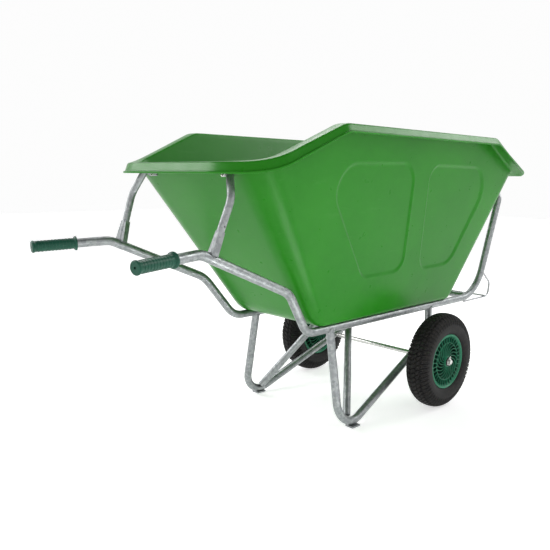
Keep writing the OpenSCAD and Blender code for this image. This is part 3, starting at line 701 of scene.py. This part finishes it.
def centre_part():
    rim = [
        [FLANGE_R - 1.2, FLANGE_Y], [FLANGE_R - 5, FLANGE_Y], [FLANGE_R - 6, FLANGE_Y - 1.5],
        [BEAD_R - 2.5, FLANGE_Y - 7], [BEAD_R - 3, 19], [WELL_R - 3.5, 12],
        [WELL_R - 3.5, -12], [BEAD_R - 3, -19], [BEAD_R - 2.5, 7 - FLANGE_Y],
        [FLANGE_R - 6, 1.5 - FLANGE_Y], [FLANGE_R - 5, -FLANGE_Y], [FLANGE_R - 1.2, -FLANGE_Y],
        [FLANGE_R, 1.2 - FLANGE_Y], [FLANGE_R - 0.6, 3 - FLANGE_Y], [BEAD_R - 0.5, 8 - FLANGE_Y],
        [BEAD_R - 0.5, -16], [WELL_R, -10], [WELL_R, 10], [BEAD_R - 0.5, 16],
        [BEAD_R - 0.5, FLANGE_Y - 8], [FLANGE_R - 0.6, FLANGE_Y - 3], [FLANGE_R, FLANGE_Y - 1.2],
    ]
    hub = [
        [HUB_R, HUB_HALF - 2], [HUB_R - 2, HUB_HALF], [BORE_R + 0.6, HUB_HALF], [BORE_R, HUB_HALF - 0.6],
        [BORE_R, 0.6 - HUB_HALF], [BORE_R + 0.6, -HUB_HALF], [HUB_R - 2, -HUB_HALF], [HUB_R, 2 - HUB_HALF],
    ]
    web = [[WELL_R - 3, 2], [HUB_R - 2, 2], [HUB_R - 2, -2], [WELL_R - 3, -2]]
    ring = [
        [RING_R, 37], [RING_R - 0.6, 37.8], [RING_R - 1.6, 37.8], [RING_R - 2.2, 37],
        [RING_R - 2.2, -37], [RING_R - 1.6, -37.8], [RING_R - 0.6, -37.8], [RING_R, -37],
    ]
    centre = (AXLE_X, WHEEL_Y, AXLE_Z)
    parts = []
    for profile in (rim, hub, web, ring):
        v, f = lathe(profile, centre, 120)
        parts.append((v, f.tolist()))
    swirl = 2 * 46
    phi = np.arccos(np.linspace(HUB_R - 1.5, RING_R - 1, 15) / swirl)
    for i in range(SPOKES):
        a = phi + i * 2 * math.pi / SPOKES
        r = swirl * np.cos(phi)
        parts.append(thin_rib(np.stack([r * np.cos(a), r * np.sin(a)], 1), 2.6, 37.5))
    for i in range(SHORT_RIBS):
        a = (i + 0.5) * 2 * math.pi / SHORT_RIBS
        r = np.linspace(RING_R - 1, FLANGE_R - 6, 3)
        for face in (28.5, -28.5):
            parts.append(thin_rib(np.stack([r * math.cos(a), r * math.sin(a)], 1), 2.2, 9.5, face))
    return parts


tyre = tyre_part()
centre = centre_part()
for side in ("left", "right"):
    flip = mirrored if side == "right" else (lambda part: part)
    piece(
        joined(side + "_tyre_tread", [flip(tyre)], 40),
        side + "_wheel", TYRE, [side + "_tyre"])
    piece(
        joined(side + "_spoked_centre", [flip(p) for p in centre], 35),
        side + "_wheel", WHEEL, [side + "_wheel_centre"])

# ---------------------------------------------------------------- welds
TUBE_R, CROSS_R, STAY_R = 16, 14, 12.5
STAY_FOOT_GAP = 1.5


def weld_on_tube(start, towards, r, axis_point, axis_dir, axis_r, bead=2.6, steps=120):
    """Rippled fillet bead where a round bar of radius r, running from start, lands on a tube."""
    d, ax = unit(np.subtract(towards, start)), unit(axis_dir)
    e1 = unit(np.cross(d, ax))
    e2 = np.cross(d, e1)
    phi = np.linspace(0, 2 * math.pi, steps, endpoint=False)
    ring = np.asarray(start, float) + r * (np.outer(np.cos(phi), e1) + np.outer(np.sin(phi), e2))
    rel = ring - np.asarray(axis_point, float)
    m = rel - np.outer(rel @ ax, ax)
    dd = d - (d @ ax) * ax
    a, b, c = dd @ dd, 2 * (m @ dd), (m * m).sum(1) - axis_r ** 2
    disc = np.maximum(b * b - 4 * a * c, 0)
    t = (-b - np.sqrt(disc)) / (2 * a)
    line = ring + np.outer(t, d)
    out_bar = unit_rows(ring - np.asarray(start, float))
    rel = line - np.asarray(axis_point, float)
    out_tube = unit_rows(rel - np.outer(rel @ ax, ax))
    return bead_along(line, out_bar, out_tube, bead)


def unit_rows(v):
    return v / np.linalg.norm(v, axis=1)[:, None]


def bead_along(line, side_a, side_b, bead, ripple_mm=3.2):
    """Closed bead along a line of points in mm; its section bulges between two outward directions."""
    n = len(line)
    length = np.concatenate([[0], np.cumsum(np.linalg.norm(np.diff(line, axis=0), axis=1))])
    total = length[-1] + np.linalg.norm(line[0] - line[-1])
    count = max(6, round(total / ripple_mm))
    wave = 1 + 0.16 * np.sin(2 * math.pi * count * length / total)
    section = np.radians(np.linspace(-50, 140, 8))
    rows = []
    for a in section:
        rows.append(line + bead * wave[:, None] * 0.8 * (math.cos(a) * side_a + math.sin(a) * side_b))
    rows.append(line - 0.4 * bead * (side_a + side_b))
    verts = np.array(rows)
    return verts.reshape(-1, 3), grid_faces(len(rows), n, True, True).tolist()


def to_row(part):
    v, f = part
    v = np.asarray(v) * MM
    v[:, 0] += AXLE_X
    return v, f


RAIL_Y, RAIL_Z, FORWARD = 206, 391, (1, 0, 0)
rail_point = (0, RAIL_Y, RAIL_Z)
weld_parts = [
    # post and crank of the leg under the rail
    weld_on_tube((-538.0, 246, 160), (-535, 208, 391), TUBE_R, rail_point, FORWARD, TUBE_R),
    weld_on_tube((142, 206.5, 300), (142, 206, 391), TUBE_R, rail_point, FORWARD, TUBE_R),
    # cross tube between the rails
    weld_on_tube((470, 100, 397), (470, 206, 397), CROSS_R, rail_point, FORWARD, TUBE_R),
    # rear stay on the handle
    weld_on_tube(
        (-1118.8, 271.4, 792), (-1142, 265, 726), STAY_R + STAY_FOOT_GAP,
        (-1188, 266, 729), (400, -27, -169), TUBE_R),
]
weld_parts = [to_row(p) for p in weld_parts]
welds = joined("weld_beads", weld_parts + [mirrored(p) for p in weld_parts], 60)
piece(welds, "cart", FRAME_STEEL)

# ---------------------------------------------------------------- stage and light
# The floor glows a little, as a lit studio sweep does, so it stays white right up to the walls.
FLOOR_HALF, FLOOR_GLOW = 14, 0.55
floor_mesh = bpy.data.meshes.new("floor")
floor_mesh.from_pydata(
    [(-FLOOR_HALF, -FLOOR_HALF, 0), (FLOOR_HALF, -FLOOR_HALF, 0),
     (FLOOR_HALF, FLOOR_HALF, 0), (-FLOOR_HALF, FLOOR_HALF, 0)], [], [(0, 1, 2, 3)])
floor = bpy.data.objects.new("floor", floor_mesh)
scene.collection.objects.link(floor)
floor_shader = Shader("floor")
floor_tone = floor_shader.blend(floor_shader.noise(3.0, 3.0), rgb(0.80, 0.80, 0.80), rgb(0.84, 0.84, 0.84))
floor_shader.bsdf.inputs["Emission Color"].default_value = rgb(1, 1, 1)
floor_shader.bsdf.inputs["Emission Strength"].default_value = FLOOR_GLOW
floor_shader.finish(floor_tone, 0.75)
floor_mesh.materials.append(floor_shader.mat)


def area_light(name, place, target, size, watts):
    data = bpy.data.lights.new(name, "AREA")
    data.shape = "RECTANGLE"
    data.size, data.size_y = size
    data.energy = watts
    lamp = bpy.data.objects.new(name, data)
    lamp.location = place
    lamp.rotation_euler = (Vector(target) - Vector(place)).to_track_quat("-Z", "Y").to_euler()
    scene.collection.objects.link(lamp)


area_light("left_box", (-2.45, 3.55, 3.1), (-0.5, 0, 0.9), (2.2, 1.6), 75)
area_light("right_box", (3.7, -1.9, 3.2), (0.1, -0.3, 0.9), (2.2, 1.6), 62)
area_light("overhead", (1.4, 1.3, 3.9), (-0.3, -0.2, 1.0), (2.0, 2.0), 70)
glow = bpy.data.lights.new("floor_glow", "SPOT")
glow.energy, glow.spot_size, glow.spot_blend, glow.shadow_soft_size = 2200, math.radians(15), 1.0, 0.05
lamp = bpy.data.objects.new("floor_glow", glow)
lamp.location = (AXLE_X - 0.72, -0.92, 3.2)
scene.collection.objects.link(lamp)

BAND, CEILING = 1.3, 0.15
# White walls up to head height, a bright band of soft boxes above them, and a dim ceiling.
world = bpy.data.worlds.new("studio")
world.use_nodes = True
tree = world.node_tree
background = tree.nodes["Background"]
background.inputs["Color"].default_value = rgb(1, 1, 1)
toward = tree.nodes.new("ShaderNodeTexCoord")
split = tree.nodes.new("ShaderNodeSeparateXYZ")
tree.links.new(toward.outputs["Generated"], split.inputs[0])


def by_height(low, high, at_low, at_high):
    """World brightness that goes smoothly from one value to another between two heights."""
    step = tree.nodes.new("ShaderNodeMapRange")
    step.interpolation_type = "SMOOTHSTEP"
    tree.links.new(split.outputs["Z"], step.inputs["Value"])
    for key, number in (("From Min", low), ("From Max", high), ("To Min", at_low), ("To Max", at_high)):
        step.inputs[key].default_value = number
    return step.outputs[0]


walls = tree.nodes.new("ShaderNodeMath")
walls.operation = "ADD"
tree.links.new(by_height(0.32, 0.42, 0.98, BAND), walls.inputs[0])
tree.links.new(by_height(0.52, 0.68, 0.0, CEILING - BAND), walls.inputs[1])
tree.links.new(walls.outputs[0], background.inputs["Strength"])
scene.world = world
scene.view_settings.view_transform = "Standard"
